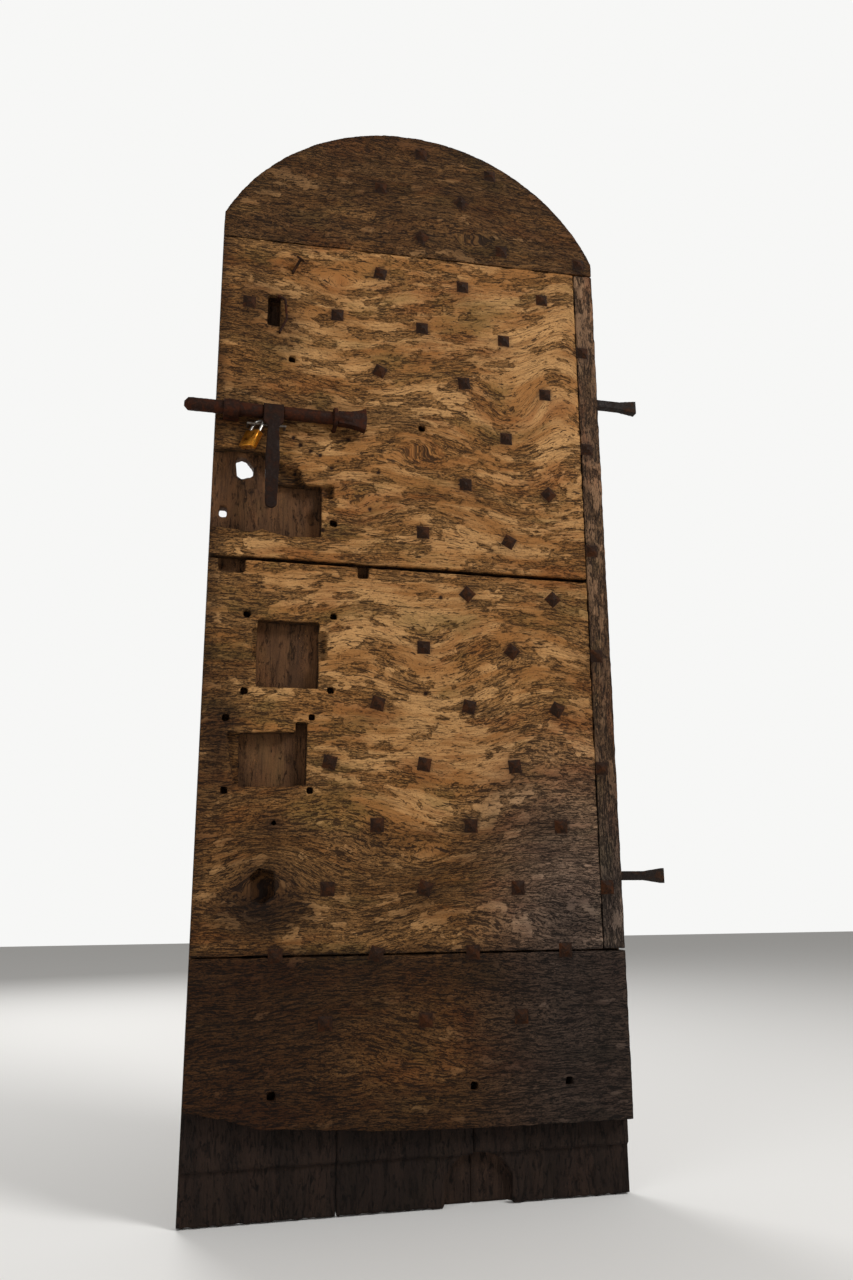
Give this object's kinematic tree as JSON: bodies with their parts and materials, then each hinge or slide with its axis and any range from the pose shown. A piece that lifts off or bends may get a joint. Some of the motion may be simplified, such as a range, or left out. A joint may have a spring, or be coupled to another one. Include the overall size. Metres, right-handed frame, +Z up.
{
  "type": "arched wooden door",
  "caption": "Old arched oak door leaf of level boards over upright planks, studded with clench nails, with strap hinges on pintles, a sliding bolt, a hasp and a hanging padlock.",
  "frame": {"origin": "on the hinge line, at the underside of the lower hinge eye", "axes": "+Z up along the hinge line; the leaf lies towards -X with its nailed front towards -Y, and opens towards +Y"},
  "size_m": [0.98, 0.1293, 2.14],
  "materials": {
    "oak_front": "bare weathered oak",
    "oak_back": "dark aged oak",
    "nail_iron": "dark rust",
    "hinge_iron": "dark rust",
    "bolt_iron": "red brown rust",
    "steel": "bright",
    "brass": "satin"
  },
  "bodies": {
    "wall_pintles": {"lower_pintle": "hinge_iron", "upper_pintle": "hinge_iron"},
    "leaf": {"head_board": "oak_front", "upper_board": "oak_front", "lower_board": "oak_front", "bottom_board": "oak_front", "edge_strip": "oak_front", "closing_plank": "oak_back", "middle_plank": "oak_back", "hinge_plank": "oak_back", "head_board_nails": "nail_iron", "upper_board_nails": "nail_iron", "lower_board_nails": "nail_iron", "lower_seam_nails": "nail_iron", "bottom_board_nails": "nail_iron", "edge_strip_nails": "nail_iron", "bent_nail": "nail_iron", "bent_rod": "nail_iron", "lower_strap": "hinge_iron", "upper_strap": "hinge_iron", "lower_strap_nails": "hinge_iron", "upper_strap_nails": "hinge_iron", "broad_guide": "bolt_iron", "narrow_guide": "bolt_iron", "padlock_staple": "steel"},
    "bolt": {"bolt": "bolt_iron"},
    "hasp": {"hasp": "bolt_iron"},
    "shackle": {"padlock_shackle": "steel"},
    "padlock": {"padlock_body": "brass"},
    "plug": {"padlock_plug": "brass"}
  },
  "joints": [
    {"name": "leaf_hinge", "type": "hinge", "parent": "wall_pintles", "child": "leaf", "pos_m": [0, 0, 0], "axis": [0, 0, -1], "range_deg": [0, 100]},
    {"name": "bolt_slide", "type": "slide", "parent": "leaf", "child": "bolt", "axis": [1, 0, 0], "range_m": [0, 0.07]},
    {"name": "hasp_swing", "type": "hinge", "parent": "bolt", "child": "hasp", "pos_m": [-0.6985, -0.09273, 0.86935], "axis": [-1, 0, 0], "range_deg": [0, 150]},
    {"name": "padlock_swing", "type": "hinge", "parent": "leaf", "child": "shackle", "pos_m": [-0.728, -0.08898, 0.84335], "axis": [-1, 0, 0], "range_deg": [0, 10]},
    {"name": "padlock_opening", "type": "slide", "parent": "shackle", "child": "padlock", "axis": [-0.3568, -0.0855, -0.9303], "range_m": [0, 0.01]},
    {"name": "plug_turn", "type": "hinge", "parent": "padlock", "child": "plug", "pos_m": [-0.74655, -0.09584, 0.78946], "axis": [-0.3568, -0.0855, -0.9303], "range_deg": [0, 90]}
  ]
}
